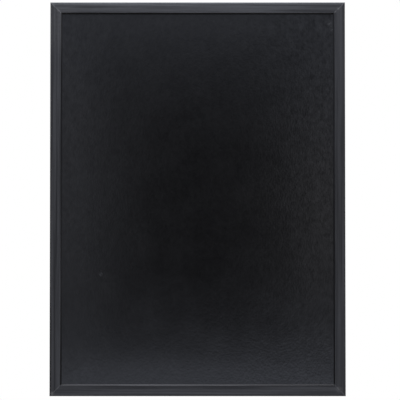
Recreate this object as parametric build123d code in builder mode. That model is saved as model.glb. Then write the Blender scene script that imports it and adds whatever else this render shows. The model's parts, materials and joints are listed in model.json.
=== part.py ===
from build123d import *
from math import acos, asin, atan2, cos, degrees, sin, sqrt
import os

# A framed wall chalkboard. +Z is up, the writing side looks along -Y, the wall is the plane Y = 0,
# and the origin lies in that plane behind the middle of the board.

# Frame outline
board_width = 600
board_height = 800
frame_depth = 15

# Moulding section, measured inwards from the outer edge and backwards from the highest line of the face
moulding_width = 24
face_width = 20.4
crown_peak = 14
crown_radius = 110
lip_fall = 3.8
lip_edge = 1.2
back_width = 17.5
outer_arris_radius = 1.8
inner_arris_radius = 0.8
lip_radius = 0.35
back_arris = 0.6

# Panel in the rabbet
sheet_thickness = 0.8
backing_thickness = 2.5
panel_side_clearance = 1

# V-nails across the mitres, driven from the back
nail_wing = 5
nail_lip = 1
nail_thickness = 0.45
nail_depth = 8
nail_sink = 0.3
nail_clearance = 0.03
nail_wing_angle = 45
nail_place_shares = (0.34, 0.7)

# Flat points driven into the rabbet wall
point_length = 15
point_width = 5.5
point_thickness = 0.5
point_tip = 3
point_driven = 6
point_tail_flat = 0.5
point_clearance = 0.03
point_end_gap = 85
points_on_stile = 4
points_on_rail = 3

# Hanger ring, bent from one wire whose round section is drawn with flats
ring_wire = 1.8
ring_wire_sides = 12
ring_leg = 4
ring_bend = 1.6
ring_joint_gap = 0.4
ring_running_clearance = 0.05
ring_end_clearance = 0.25
ring_swing_clearance = 0.3

# Hanger strap, folded round the bar of its ring
hanger_drop = 120
strap_width = 9.5
strap_thickness = 0.8
strap_tail = 7
strap_tail_flat = 0.7
strap_leaf_gap = 0.1
strap_fold_radius = 1.2

# Hanger screw, just beyond the reach of the ring
screw_length = 12
screw_shank = 3
screw_tip = 3
screw_head = 6.4
screw_head_height = 2.1
screw_head_edge = 0.9
screw_ring_clearance = 2.3
screw_hole_clearance = 0.3
pilot_clearance = 0.05

# Rubber bumpers at the foot, which stand off the wall as far as the hangers do
bumper_diameter = 10
bumper_face_diameter = 8.6
bumper_edge = 0.7
bumper_rise = 34
wall_clearance = 0.2

# Heights over the frame's back, which the bumpers clear
strap_stack = 2 * strap_thickness + strap_leaf_gap
bar_rise = strap_thickness + ring_running_clearance + ring_wire / 2
roll_height = 2 * bar_rise
ring_height = strap_stack + ring_swing_clearance + ring_wire
head_height = strap_stack + screw_head_height
bumper_height = max(roll_height, ring_height, head_height) + wall_clearance

# Planes and places that follow
half_width = board_width / 2
half_height = board_height / 2
back_y = -bumper_height
front_y = back_y - frame_depth
seat_depth = lip_fall + lip_edge
seat_y = front_y + seat_depth
sheet_back_y = seat_y + sheet_thickness
panel_back_y = sheet_back_y + backing_thickness
panel_width = board_width - 2 * (back_width + panel_side_clearance)
panel_height = board_height - 2 * (back_width + panel_side_clearance)
outer_drop = crown_radius - sqrt(crown_radius**2 - crown_peak**2)
inner_drop = crown_radius - sqrt(crown_radius**2 - (face_width - crown_peak) ** 2)
stile_centre_x = half_width - back_width / 2
bar_z = half_height - hanger_drop
ring_half_width = strap_width / 2 + ring_end_clearance + ring_bend
ring_reach = ring_leg + ring_half_width
screw_from_bar = ring_reach + ring_wire / 2 + screw_ring_clearance + screw_head / 2
screw_z = bar_z - screw_from_bar
strap_length = screw_from_bar + strap_tail

# At rest a ring leans off its strap, and raised it leans the other way, just off the stile
hanging_lean = asin((strap_stack + ring_swing_clearance + ring_wire / 2 - bar_rise) / ring_reach)
raised_lean = asin((bar_rise - ring_wire / 2 - ring_swing_clearance) / ring_reach)
ring_swing = 180 - degrees(hanging_lean) + degrees(raised_lean)

# Planes parallel to the wall, seen from behind, with local x towards the board's left side
back_plane = Plane(origin=(0, back_y, 0), x_dir=(-1, 0, 0), z_dir=(0, 1, 0))
nail_plane = Plane(origin=(0, back_y - nail_sink, 0), x_dir=(-1, 0, 0), z_dir=(0, 1, 0))
panel_back_plane = Plane(origin=(0, panel_back_y, 0), x_dir=(-1, 0, 0), z_dir=(0, 1, 0))


def moulding_section():
    # x runs inwards from the outer edge, y backwards from the face
    with BuildSketch() as section:
        with BuildLine():
            Line((0, frame_depth), (0, outer_drop))
            ThreePointArc((0, outer_drop), (crown_peak, 0), (face_width, inner_drop))
            Polyline(
                (face_width, inner_drop),
                (moulding_width, lip_fall),
                (moulding_width, seat_depth),
                (back_width, seat_depth),
                (back_width, frame_depth),
                (0, frame_depth),
            )
        make_face()
        fillet(section.vertices().sort_by_distance((0, outer_drop))[0], outer_arris_radius)
        fillet(section.vertices().sort_by_distance((face_width, inner_drop))[0], inner_arris_radius)
        fillet(section.vertices().sort_by_distance((moulding_width, lip_fall))[0], lip_radius)
        chamfer(section.vertices().sort_by_distance((0, frame_depth))[0], back_arris)
    return section.sketch


def nail_section(clearance):
    # One V seen from behind: its point at the origin, its wings opening along +X
    wing_end = Vector(nail_wing, 0).rotate(Axis.Z, nail_wing_angle)
    with BuildSketch() as section:
        with BuildLine():
            Polyline((0, 0), wing_end, wing_end + Vector(nail_lip, 0))
            mirror(about=Plane.XZ)
        trace(line_width=nail_thickness + 2 * clearance)
    return section.sketch


def nail_places():
    # Along each mitre, from the outer corner towards the corner of the rabbet
    mitre_length = back_width * sqrt(2)
    places = []
    for across in (-1, 1):
        for up in (-1, 1):
            corner = Vector(across * half_width, up * half_height)
            inward = Vector(-across, -up).normalized()
            turn = degrees(atan2(inward.Y, inward.X))
            for share in nail_place_shares:
                places.append(Location(corner + inward * mitre_length * share, turn))
    return places


def point_outline(clearance):
    # One flat point seen from behind: the rabbet wall crosses it at x = 0, its tip points along +X
    tail = point_driven - point_length
    shoulder = point_driven - point_tip
    half = point_width / 2
    with BuildSketch() as outline:
        with BuildLine():
            Polyline(
                (tail, half),
                (tail, -half),
                (shoulder, -half),
                (point_driven, 0),
                (shoulder, half),
                close=True,
            )
        make_face()
        fillet(outline.vertices().group_by(Axis.X)[0], (point_width - point_tail_flat) / 2)
        if clearance:
            offset(amount=clearance, kind=Kind.INTERSECTION)
    return outline.sketch


def point_places():
    # Evenly spaced along the four walls of the rabbet, each turned to point outwards
    wall_x = half_width - back_width
    wall_z = half_height - back_width
    stile_pitch = (board_height - 2 * point_end_gap) / (points_on_stile - 1)
    rail_pitch = (board_width - 2 * point_end_gap) / (points_on_rail - 1)
    places = []
    for side in (-1, 1):
        for place in GridLocations(0, stile_pitch, 1, points_on_stile):
            places.append(Location((side * wall_x, place.position.Y), 90 - side * 90))
        for place in GridLocations(rail_pitch, 0, points_on_rail, 1):
            places.append(Location((place.position.X, side * wall_z), side * 90))
    return places


nail_spots = nail_places()
point_spots = point_places()
os.makedirs("parts", exist_ok=True)

# Four mitred sides of one moulding, grooved for the V-nails and slit for the flat points
rail_sides = {
    "bottom_rail": (Vector(0, 0, -half_height), Vector(0, 0, 1), board_width),
    "top_rail": (Vector(0, 0, half_height), Vector(0, 0, -1), board_width),
    "left_stile": (Vector(-half_width, 0, 0), Vector(1, 0, 0), board_height),
    "right_stile": (Vector(half_width, 0, 0), Vector(-1, 0, 0), board_height),
}
for name, (edge_middle, inward, length) in rail_sides.items():
    along = inward.cross(Vector(0, 1, 0))
    section_plane = Plane(origin=edge_middle + Vector(0, front_y, 0), x_dir=inward, z_dir=along)
    with BuildPart() as rail:
        with BuildSketch(section_plane):
            add(moulding_section())
        extrude(amount=length / 2, both=True)
        for end in (-1, 1):
            mitre = Plane(origin=section_plane.origin + along * end * length / 2, z_dir=along * end + inward)
            split(bisect_by=mitre, keep=Keep.BOTTOM)
        with BuildSketch(back_plane):
            with Locations(*nail_spots):
                add(nail_section(nail_clearance))
        extrude(amount=-(nail_sink + nail_depth + nail_clearance), mode=Mode.SUBTRACT)
        with BuildSketch(panel_back_plane.offset(-point_clearance)):
            with Locations(*point_spots):
                add(point_outline(point_clearance))
        extrude(amount=point_thickness + 2 * point_clearance, mode=Mode.SUBTRACT)
        if name.endswith("stile"):
            pilot_place = Vector(edge_middle.X / half_width * stile_centre_x, back_y, screw_z)
            with Locations(Plane(origin=pilot_place, z_dir=(0, 1, 0))):
                Hole(screw_shank / 2 + pilot_clearance, screw_length - strap_stack + pilot_clearance)
    rail.part.label = name
    export_step(rail.part, f"parts/{name}.step")

# Panel: the black writing sheet bonded to its brown backing, both loose in the rabbet
with BuildPart() as writing_sheet:
    with BuildSketch(Plane(origin=(0, seat_y, 0), x_dir=(1, 0, 0), z_dir=(0, -1, 0))):
        Rectangle(panel_width, panel_height)
    extrude(amount=-sheet_thickness)
writing_sheet.part.label = "writing_sheet"
export_step(writing_sheet.part, "parts/writing_sheet.step")

with BuildPart() as backing_board:
    with BuildSketch(panel_back_plane):
        Rectangle(panel_width, panel_height)
    extrude(amount=-backing_thickness)
backing_board.part.label = "backing_board"
export_step(backing_board.part, "parts/backing_board.step")

# V-nails, two across every mitre, driven just below the back
with BuildPart() as corner_v_nails:
    with BuildSketch(nail_plane):
        with Locations(*nail_spots):
            add(nail_section(0))
    extrude(amount=-nail_depth)
corner_v_nails.part.label = "corner_v_nails"
export_step(corner_v_nails.part, "parts/corner_v_nails.step")

# Flat points, lying on the panel's back with their tips in the wood
with BuildPart() as panel_points:
    with BuildSketch(panel_back_plane):
        with Locations(*point_spots):
            add(point_outline(0))
    extrude(amount=point_thickness)
panel_points.part.label = "panel_points"
export_step(panel_points.part, "parts/panel_points.step")

for side, across in (("left", -1), ("right", 1)):
    bar_centre = Vector(across * stile_centre_x, back_y + bar_rise, bar_z)
    screw_seat = Vector(across * stile_centre_x, back_y + strap_stack, screw_z)

    # Strap: one strip, its lower leaf on the stile, rolled round the bar and back down onto itself
    roll_radius = bar_rise - strap_thickness / 2
    upper_leaf = strap_stack - strap_thickness / 2
    wrap = acos((upper_leaf - bar_rise + strap_fold_radius) / (roll_radius + strap_fold_radius))
    fold_x = -(roll_radius + strap_fold_radius) * sin(wrap)
    fold_y = bar_rise + (roll_radius + strap_fold_radius) * cos(wrap)
    strap_plane = Plane(origin=(bar_centre.X, back_y, bar_z), x_dir=(0, 0, 1), z_dir=(-1, 0, 0))
    with BuildPart() as strap:
        with BuildSketch(strap_plane):
            with BuildLine():
                Line((-strap_length, strap_thickness / 2), (0, strap_thickness / 2))
                CenterArc((0, bar_rise), roll_radius, -90, 180 + degrees(wrap))
                CenterArc((fold_x, fold_y), strap_fold_radius, degrees(wrap) - 90, -degrees(wrap))
                Line((fold_x, upper_leaf), (-strap_length, upper_leaf))
            trace(line_width=strap_thickness)
        extrude(amount=strap_width / 2, both=True)
        tail_edges = strap.edges().filter_by(Axis.Y).group_by(Axis.Z)[0]
        fillet(tail_edges, (strap_width - strap_tail_flat) / 2)
        with Locations(Plane(origin=screw_seat, z_dir=(0, 1, 0))):
            Hole(screw_shank / 2 + screw_hole_clearance)
    strap.part.label = f"{side}_hanger_strap"
    export_step(strap.part, f"parts/{side}_hanger_strap.step")

    # Ring: one wire bent to a D, its ends meeting inside the strap's roll
    ring_plane = Plane(origin=bar_centre, x_dir=(1, 0, 0), z_dir=(0, cos(hanging_lean), sin(hanging_lean)))
    with BuildPart() as ring:
        with BuildLine(ring_plane) as wire:
            FilletPolyline(
                (ring_joint_gap / 2, 0),
                (ring_half_width, 0),
                (ring_half_width, ring_leg),
                radius=ring_bend,
            )
            CenterArc((0, ring_leg), ring_half_width, 0, 180)
            FilletPolyline(
                (-ring_half_width, ring_leg),
                (-ring_half_width, 0),
                (-ring_joint_gap / 2, 0),
                radius=ring_bend,
            )
        with BuildSketch(Plane(origin=wire.line @ 0, z_dir=wire.line % 0)):
            RegularPolygon(ring_wire / 2, ring_wire_sides)
        sweep()
    ring.part.label = f"{side}_hanger_ring"
    export_step(ring.part, f"parts/{side}_hanger_ring.step")

    # Screw: pan head on the strap, shank in the stile's pilot hole
    head_dome = screw_head_height - screw_head_edge
    dome_radius = ((screw_head / 2) ** 2 + head_dome**2) / (2 * head_dome)
    screw_plane = Plane(origin=screw_seat, x_dir=(0, 0, 1), z_dir=(-1, 0, 0))
    with BuildPart() as screw:
        with BuildSketch(screw_plane):
            with BuildLine():
                Polyline(
                    (0, screw_head_height),
                    (0, -screw_length),
                    (screw_shank / 2, screw_tip - screw_length),
                    (screw_shank / 2, 0),
                    (screw_head / 2, 0),
                    (screw_head / 2, screw_head_edge),
                )
                RadiusArc((screw_head / 2, screw_head_edge), (0, screw_head_height), -dome_radius)
            make_face()
        revolve(axis=Axis(screw_seat, (0, 1, 0)))
    screw.part.label = f"{side}_hanger_screw"
    export_step(screw.part, f"parts/{side}_hanger_screw.step")

    # Bumper: a low rubber cone on the stile's back, its face on the wall
    bumper_base = Plane(origin=(bar_centre.X, back_y, bumper_rise - half_height), z_dir=(0, 1, 0))
    with BuildPart() as bumper:
        with BuildSketch(bumper_base):
            Circle(bumper_diameter / 2)
        with BuildSketch(bumper_base.offset(bumper_height)):
            Circle(bumper_face_diameter / 2)
        loft(ruled=True)
        chamfer(bumper.edges().filter_by(GeomType.CIRCLE).sort_by(Axis.Y)[-1], bumper_edge)
    bumper.part.label = f"{side}_wall_bumper"
    export_step(bumper.part, f"parts/{side}_wall_bumper.step")

print("ring bar centre, x y z:", stile_centre_x, back_y + bar_rise, bar_z)
print("ring swing in degrees:", ring_swing, "lean at rest:", degrees(hanging_lean))
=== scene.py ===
import json
import math

import bmesh
import bpy
from mathutils import Matrix, Vector


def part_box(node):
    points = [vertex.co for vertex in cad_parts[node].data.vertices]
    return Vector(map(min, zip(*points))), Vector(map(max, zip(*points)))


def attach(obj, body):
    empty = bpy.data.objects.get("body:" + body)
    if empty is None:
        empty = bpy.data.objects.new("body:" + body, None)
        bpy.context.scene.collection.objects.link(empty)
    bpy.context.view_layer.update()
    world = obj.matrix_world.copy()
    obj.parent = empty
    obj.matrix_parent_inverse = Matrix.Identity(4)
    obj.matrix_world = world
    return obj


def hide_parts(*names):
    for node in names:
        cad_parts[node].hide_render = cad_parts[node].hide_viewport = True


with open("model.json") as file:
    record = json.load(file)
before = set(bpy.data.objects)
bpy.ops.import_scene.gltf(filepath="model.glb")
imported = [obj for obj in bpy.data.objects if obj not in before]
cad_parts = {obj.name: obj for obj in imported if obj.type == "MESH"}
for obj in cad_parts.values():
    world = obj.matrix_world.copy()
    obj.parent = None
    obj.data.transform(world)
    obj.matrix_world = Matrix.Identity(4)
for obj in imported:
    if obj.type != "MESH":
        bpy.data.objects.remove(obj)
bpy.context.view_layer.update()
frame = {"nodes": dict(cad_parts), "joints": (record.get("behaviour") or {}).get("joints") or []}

# The board's own measures, taken from the frame. The writing side looks along -Y, the wall is at Y = 0.
topLow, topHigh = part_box("top_rail")
stileLow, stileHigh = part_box("left_stile")
sheetLow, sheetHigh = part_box("writing_sheet")
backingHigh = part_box("backing_board")[1]
pivots = {joint["child"]: Vector(joint["pos_m"]) for joint in frame["joints"]}

halfWidth = topHigh.x
halfHeight = topHigh.z
frontY = topLow.y
backY = topHigh.y
frameDepth = backY - frontY
mouldingWidth = stileHigh.x - stileLow.x
seatDepth = sheetLow.y - frontY
panelClearance = 0.001  # between the panel's edge and the wall of the rabbet
backWidth = halfWidth - sheetHigh.x - panelClearance


# Node helpers, for materials and geometry trees alike

def feed(tree, socket, value):
    if isinstance(value, bpy.types.NodeSocket):
        tree.links.new(value, socket)
    else:
        socket.default_value = value


def addNode(tree, kind, inputs=None, **settings):
    node = tree.nodes.new(kind)
    for key, value in settings.items():
        setattr(node, key, value)
    for key, value in (inputs or {}).items():
        feed(tree, node.inputs[key], value)
    return node


def calc(tree, operation, *values):
    node = addNode(tree, "ShaderNodeMath", operation=operation)
    for socket, value in zip(node.inputs, values):
        feed(tree, socket, value)
    return node.outputs[0]


def times(tree, *values):
    return calc(tree, "MULTIPLY", *values)


def timesAdd(tree, *values):
    return calc(tree, "MULTIPLY_ADD", *values)


def vectorCalc(tree, operation, *values):
    node = addNode(tree, "ShaderNodeVectorMath", operation=operation)
    for socket, value in zip(node.inputs, values):
        feed(tree, socket, value)
    return node.outputs["Value" if operation in ("DOT_PRODUCT", "LENGTH") else "Vector"]


def scaled(tree, vector, amount):
    node = addNode(tree, "ShaderNodeVectorMath", {"Vector": vector, "Scale": amount}, operation="SCALE")
    return node.outputs["Vector"]


def split(tree, vector):
    return addNode(tree, "ShaderNodeSeparateXYZ", {"Vector": vector}).outputs


def combine(tree, x, y, z):
    return addNode(tree, "ShaderNodeCombineXYZ", {"X": x, "Y": y, "Z": z}).outputs[0]


def ease(tree, value, start, end):
    # 0 at start, 1 at end, smooth between
    limits = {"Value": value, "From Min": start, "From Max": end}
    return addNode(tree, "ShaderNodeMapRange", limits, interpolation_type="SMOOTHSTEP").outputs["Result"]


def grainNoise(tree, place, stretch, detail=2.0, rough=0.5, warp=0.0):
    # stretch is in noise cells for each metre along x, y and z
    cells = vectorCalc(tree, "MULTIPLY", place, stretch)
    values = {"Vector": cells, "Scale": 1.0, "Detail": detail, "Roughness": rough, "Distortion": warp}
    return addNode(tree, "ShaderNodeTexNoise", values).outputs[0]


def blendColour(tree, factor, first, second):
    # sockets by number, because the node has an A and a B for each kind of value
    node = addNode(tree, "ShaderNodeMix", data_type="RGBA")
    feed(tree, node.inputs[0], factor)
    feed(tree, node.inputs[6], first)
    feed(tree, node.inputs[7], second)
    return node.outputs[2]


def overlay(tree, base, tone, factor, share):
    return blendColour(tree, times(tree, factor, share), base, tone)


def colour(red, green, blue):
    return (red, green, blue, 1.0)


# Mesh helpers

def addPiece(name, mesh):
    piece = bpy.data.objects.new(name, mesh)
    bpy.context.scene.collection.objects.link(piece)
    return piece


def meshFrom(name, shape):
    mesh = bpy.data.meshes.new(name)
    shape.to_mesh(mesh)
    shape.free()
    return mesh


def takeResult(piece):
    # the evaluated mesh becomes the piece's own, and its modifiers go
    graph = bpy.context.evaluated_depsgraph_get()
    mesh = bpy.data.meshes.new_from_object(piece.evaluated_get(graph), depsgraph=graph)
    piece.modifiers.clear()
    piece.data = mesh


def runTree(piece, tree, values):
    modifier = piece.modifiers.new(tree.name, "NODES")
    modifier.node_group = tree
    for item in tree.interface.items_tree:
        if item.item_type == "SOCKET" and item.in_out == "INPUT" and item.name in values:
            modifier[item.identifier] = values[item.name]
    takeResult(piece)


def easeEdges(piece, width, segments=1, angle=40):
    bevel = piece.modifiers.new("eased edges", "BEVEL")
    bevel.width = width
    bevel.segments = segments
    bevel.limit_method = "ANGLE"
    bevel.angle_limit = math.radians(angle)
    takeResult(piece)


def cutAway(piece, cutter):
    cut = piece.modifiers.new("cut", "BOOLEAN")
    cut.operation = "DIFFERENCE"
    cut.solver = "EXACT"
    cut.object = cutter
    takeResult(piece)


crispAngle = 32  # faces that meet at more degrees than this keep a crisp edge


def finishPiece(piece, node, body):
    piece.data.shade_smooth()
    piece.data.set_sharp_from_angle(angle=math.radians(crispAngle))
    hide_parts(node)
    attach(piece, body)
    print(piece.name, "made:", len(piece.data.polygons), "faces")


def newTree(name, inputs):
    tree = bpy.data.node_groups.new(name, "GeometryNodeTree")
    tree.is_modifier = True
    tree.interface.new_socket("Geometry", in_out="INPUT", socket_type="NodeSocketGeometry")
    for label, kind in inputs.items():
        tree.interface.new_socket(label, in_out="INPUT", socket_type="NodeSocket" + kind)
    tree.interface.new_socket("Geometry", in_out="OUTPUT", socket_type="NodeSocketGeometry")
    return tree, addNode(tree, "NodeGroupInput").outputs


def endTree(tree, geometry, material):
    realize = addNode(tree, "GeometryNodeRealizeInstances", {"Geometry": geometry})
    finish = addNode(tree, "GeometryNodeSetMaterial", {"Geometry": realize.outputs[0], "Material": material})
    output = addNode(tree, "NodeGroupOutput")
    tree.links.new(finish.outputs[0], output.inputs[0])


def moved(tree, geometry, where):
    # where is {"Position": ...} or {"Offset": ...}
    return addNode(tree, "GeometryNodeSetPosition", {"Geometry": geometry, **where}).outputs[0]


def prism(outline, lowY, highY):
    # a flat outline of (x, z), made into a closed block from lowY to highY
    shape = bmesh.new()
    front = [shape.verts.new((x, lowY, z)) for x, z in outline]
    back = [shape.verts.new((x, highY, z)) for x, z in outline]
    shape.faces.new(front)
    shape.faces.new(back[::-1])
    for i, start in enumerate(front):
        j = (i + 1) % len(front)
        shape.faces.new((start, back[i], back[j], front[j]))
    bmesh.ops.recalc_face_normals(shape, faces=shape.faces)
    return meshFrom("prism", shape)


def turned(name, profile, sides, centre):
    # a round piece on an axis along Y: its profile is (radius, y), and begins and ends on the axis
    shape = bmesh.new()
    angles = [2 * math.pi * k / sides for k in range(sides)]
    rings = []
    for radius, y in profile:
        if radius == 0:
            rings.append([shape.verts.new((centre.x, y, centre.z))])
            continue
        rings.append([
            shape.verts.new((centre.x + radius * math.cos(a), y, centre.z + radius * math.sin(a)))
            for a in angles
        ])
    for ring, following in zip(rings, rings[1:]):
        for k in range(sides):
            corners = [ring[k % len(ring)], ring[(k + 1) % len(ring)]]
            corners += [following[(k + 1) % len(following)], following[k % len(following)]]
            shape.faces.new(list(dict.fromkeys(corners)))
    bmesh.ops.recalc_face_normals(shape, faces=shape.faces)
    return addPiece(name, meshFrom(name, shape))


def roundedOutline(corners, arcSteps=6):
    # corners are (x, y, radius), and one without a radius stays sharp
    outline = []
    for index, (x, y, radius) in enumerate(corners):
        place = Vector((x, y))
        before = (Vector(corners[index - 1][:2]) - place).normalized()
        after = (Vector(corners[(index + 1) % len(corners)][:2]) - place).normalized()
        if not radius:
            outline.append(place)
            continue
        half = before.angle(after) / 2
        centre = place + (before + after).normalized() * radius / math.sin(half)
        start = place + before * radius / math.tan(half) - centre
        end = place + after * radius / math.tan(half) - centre
        outline += [centre + radius * start.slerp(end, k / arcSteps) for k in range(arcSteps + 1)]
    return outline


# Finishes. Each pattern in a dictionary is noise: its cells for each metre along x, y and z, its detail, and
# where they are given its roughness and distortion. The two numbers after a pattern's name in the code are
# where it begins to show and where it shows in full.

def newFinish(name, **values):
    # Coat_Weight stands for the socket Coat Weight, and so on
    material = bpy.data.materials.new(name)
    material.use_nodes = True
    tree = material.node_tree
    shader = tree.nodes["Principled BSDF"]
    for key, value in values.items():
        shader.inputs[key.replace("_", " ")].default_value = value
    place = addNode(tree, "ShaderNodeTexCoord").outputs["Object"]
    return material, tree, shader, place


def patterns(tree, place, finish, *names):
    return [grainNoise(tree, place, *finish[name]) for name in names]


def setSurface(tree, shader, base, rough, height, depth):
    # depth is how far a height of 1 stands out, in metres
    bump = addNode(tree, "ShaderNodeBump", {"Height": height, "Strength": 1.0, "Distance": depth})
    feed(tree, shader.inputs["Base Color"], base)
    feed(tree, shader.inputs["Roughness"], rough)
    feed(tree, shader.inputs["Normal"], bump.outputs[0])


spotCore = 0.2  # the share of a spot's size that has its full amount


def nearSpots(tree, place, atY, spots):
    near = 0.0
    for atX, atZ, size, amount in spots:
        away = vectorCalc(tree, "LENGTH", vectorCalc(tree, "SUBTRACT", place, (atX, atY, atZ)))
        near = calc(tree, "MAXIMUM", near, times(tree, ease(tree, away, size, size * spotCore), amount))
    return near


woodFinish = {
    "stainDark": colour(0.0041, 0.0041, 0.0043),
    "stainLight": colour(0.0234, 0.0234, 0.0241),
    "poreTone": colour(0.0040, 0.0040, 0.0045),
    # the pale tone along the mitres is partly bare wood and partly a painted highlight of the joint's edges
    "mitreTone": colour(0.150, 0.148, 0.150),
    "wornTone": colour(0.110, 0.105, 0.100),
    # also the tone of a broad painted highlight high on the left stile
    "knockAndHighlightTone": colour(0.160, 0.155, 0.140),
    "backDark": colour(0.010, 0.009, 0.008),
    "backLight": colour(0.062, 0.045, 0.031),
    "streaks": ((3.0, 230.0, 230.0), 5.0, 0.62, 0.3),     # cells along, across and through the wood
    "lines": ((16.0, 1150.0, 1150.0), 3.0, 0.6),
    "pores": ((120.0, 4200.0, 4200.0), 1.0),
    "blotches": ((9.0, 30.0, 30.0), 2.0),
    "patches": ((210.0, 210.0, 210.0), 4.0, 0.65),
    "streakShare": 0.75,      # of the pale stain
    "lineShare": 0.35,
    "lacquer": 0.12,
    "lacquerRoughness": 0.22,
    "roughness": 0.37,
    "lineRoughness": 0.16,    # added by the lines, on the back, and where it is worn
    "backRoughness": 0.25,
    "wornRoughness": 0.2,
    "sheenRange": 0.30,       # how much more some streaks shine than others
    "mitreLine": 0.0016,      # from the mitre, measured along the moulding
    "mitreWearAndHighlight": 0.75,
    "arrisBand": (0.0022, 0.0008),    # from the sharp corner, where wear ends and where it is full
    "arrisWear": 0.6,
    "backBand": (0.0009, 0.0003),     # from the back, where its thin stain ends and where it is full
    "backCover": 0.9,
    "planerPitch": 0.0021,
    "planerWander": 0.004,
    "grainBump": 0.00006,
    "poreRelief": -0.35,      # of that height
    "lineRelief": 1.2,
    "planerRelief": 0.12,
    "paleSpotDepth": 0.001,      # behind the highest line of the face
    "knocksAndHighlight": (               # x, z, size, amount: where the stain is rubbed through at the corners, and one broad painted highlight
        (-0.2834, 0.3827, 0.0050, 0.30),
        (-0.2940, 0.3955, 0.0065, 0.20),
        # not a worn spot but a broad painted highlight: paler high on the left stile, where light from the
        # upper left falls
        (-0.2890, 0.3520, 0.0700, 0.09),
        (0.2865, 0.3868, 0.0045, 0.25),
        (0.2815, 0.3812, 0.0040, 0.22),
        (-0.2950, -0.3945, 0.0065, 0.48),
        (0.2870, -0.3870, 0.0090, 0.28),
    ),
}


def stainedWood(name, grainAlongX):
    # black-stained straight-grained wood under a satin lacquer, its grain along X or along Z
    look = woodFinish
    lacquer = {"Coat_Weight": look["lacquer"], "Coat_Roughness": look["lacquerRoughness"]}
    material, tree, shader, place = newFinish(name, IOR=1.5, **lacquer)
    x, y, z = split(tree, place)
    along, across = (x, z) if grainAlongX else (z, x)
    grain = combine(tree, along, across, y)
    streaks, lines, pores, blotches = patterns(tree, grain, look, "streaks", "lines", "pores", "blotches")
    tone = times(tree, lines, look["lineShare"])
    tone = timesAdd(tree, ease(tree, streaks, 0.36, 0.66), look["streakShare"], tone)
    tone = times(tree, tone, timesAdd(tree, blotches, 0.5, 0.7))
    base = blendColour(tree, tone, look["stainDark"], look["stainLight"])
    base = blendColour(tree, ease(tree, pores, 0.60, 0.72), base, look["poreTone"])

    # wood shows where the corners were struck and on the outer arris where it is handled; the pale line along
    # each mitre is partly bare wood at the joint and partly a painted highlight, and one broad pale patch
    # high on the left stile is a painted highlight
    inX = calc(tree, "SUBTRACT", halfWidth, calc(tree, "ABSOLUTE", x))
    inZ = calc(tree, "SUBTRACT", halfHeight, calc(tree, "ABSOLUTE", z))
    fromMitre = calc(tree, "ABSOLUTE", calc(tree, "SUBTRACT", inX, inZ))
    patches = grainNoise(tree, place, *look["patches"])
    # pale along each mitre: partly bare wood at the joint, partly a painted highlight where the joint's eased
    # edges catch light
    onMitre = times(tree, ease(tree, fromMitre, look["mitreLine"], 0.0), ease(tree, patches, 0.30, 0.62))
    base = overlay(tree, base, look["mitreTone"], onMitre, look["mitreWearAndHighlight"])
    # pale where the stain is rubbed through at the corners, and one broad painted highlight high on the left
    # stile
    knockedAndLit = nearSpots(tree, place, frontY + look["paleSpotDepth"], look["knocksAndHighlight"])
    knockedAndLit = times(tree, knockedAndLit, ease(tree, patches, 0.25, 0.60))
    base = blendColour(tree, knockedAndLit, base, look["knockAndHighlightTone"])
    fromCorner = calc(tree, "ADD", calc(tree, "MINIMUM", inX, inZ), calc(tree, "SUBTRACT", y, frontY))
    worn = times(tree, ease(tree, fromCorner, *look["arrisBand"]), ease(tree, patches, 0.56, 0.70))
    base = overlay(tree, base, look["wornTone"], worn, look["arrisWear"])

    # the back has one thin coat of stain and no lacquer, shown here by more roughness while the coat stays,
    # and the planer's marks run across it
    onBack = ease(tree, y, *(backY - depth for depth in look["backBand"]))
    thinGrain = timesAdd(tree, ease(tree, streaks, 0.35, 0.65), 0.7, times(tree, lines, 0.5))
    thin = blendColour(tree, thinGrain, look["backDark"], look["backLight"])
    thin = blendColour(tree, ease(tree, blotches, 0.45, 0.75), thin, look["backDark"])
    base = overlay(tree, base, thin, onBack, look["backCover"])
    wander = timesAdd(tree, blotches, look["planerWander"], along)
    passes = calc(tree, "SINE", times(tree, wander, 2 * math.pi / look["planerPitch"]))

    rough = timesAdd(tree, lines, look["lineRoughness"], look["roughness"] - look["lineRoughness"] / 2)
    rough = timesAdd(tree, onBack, look["backRoughness"], rough)
    rough = timesAdd(tree, worn, look["wornRoughness"], rough)
    sheen = ease(tree, streaks, 0.34, 0.66)
    sheen = timesAdd(tree, sheen, look["sheenRange"], 0.5 - look["sheenRange"] / 2)
    feed(tree, shader.inputs["Specular IOR Level"], sheen)
    relief = timesAdd(tree, lines, look["lineRelief"], streaks)
    relief = timesAdd(tree, pores, look["poreRelief"], relief)
    relief = timesAdd(tree, times(tree, passes, onBack), look["planerRelief"], relief)
    setSurface(tree, shader, base, rough, relief, look["grainBump"])
    return material


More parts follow.
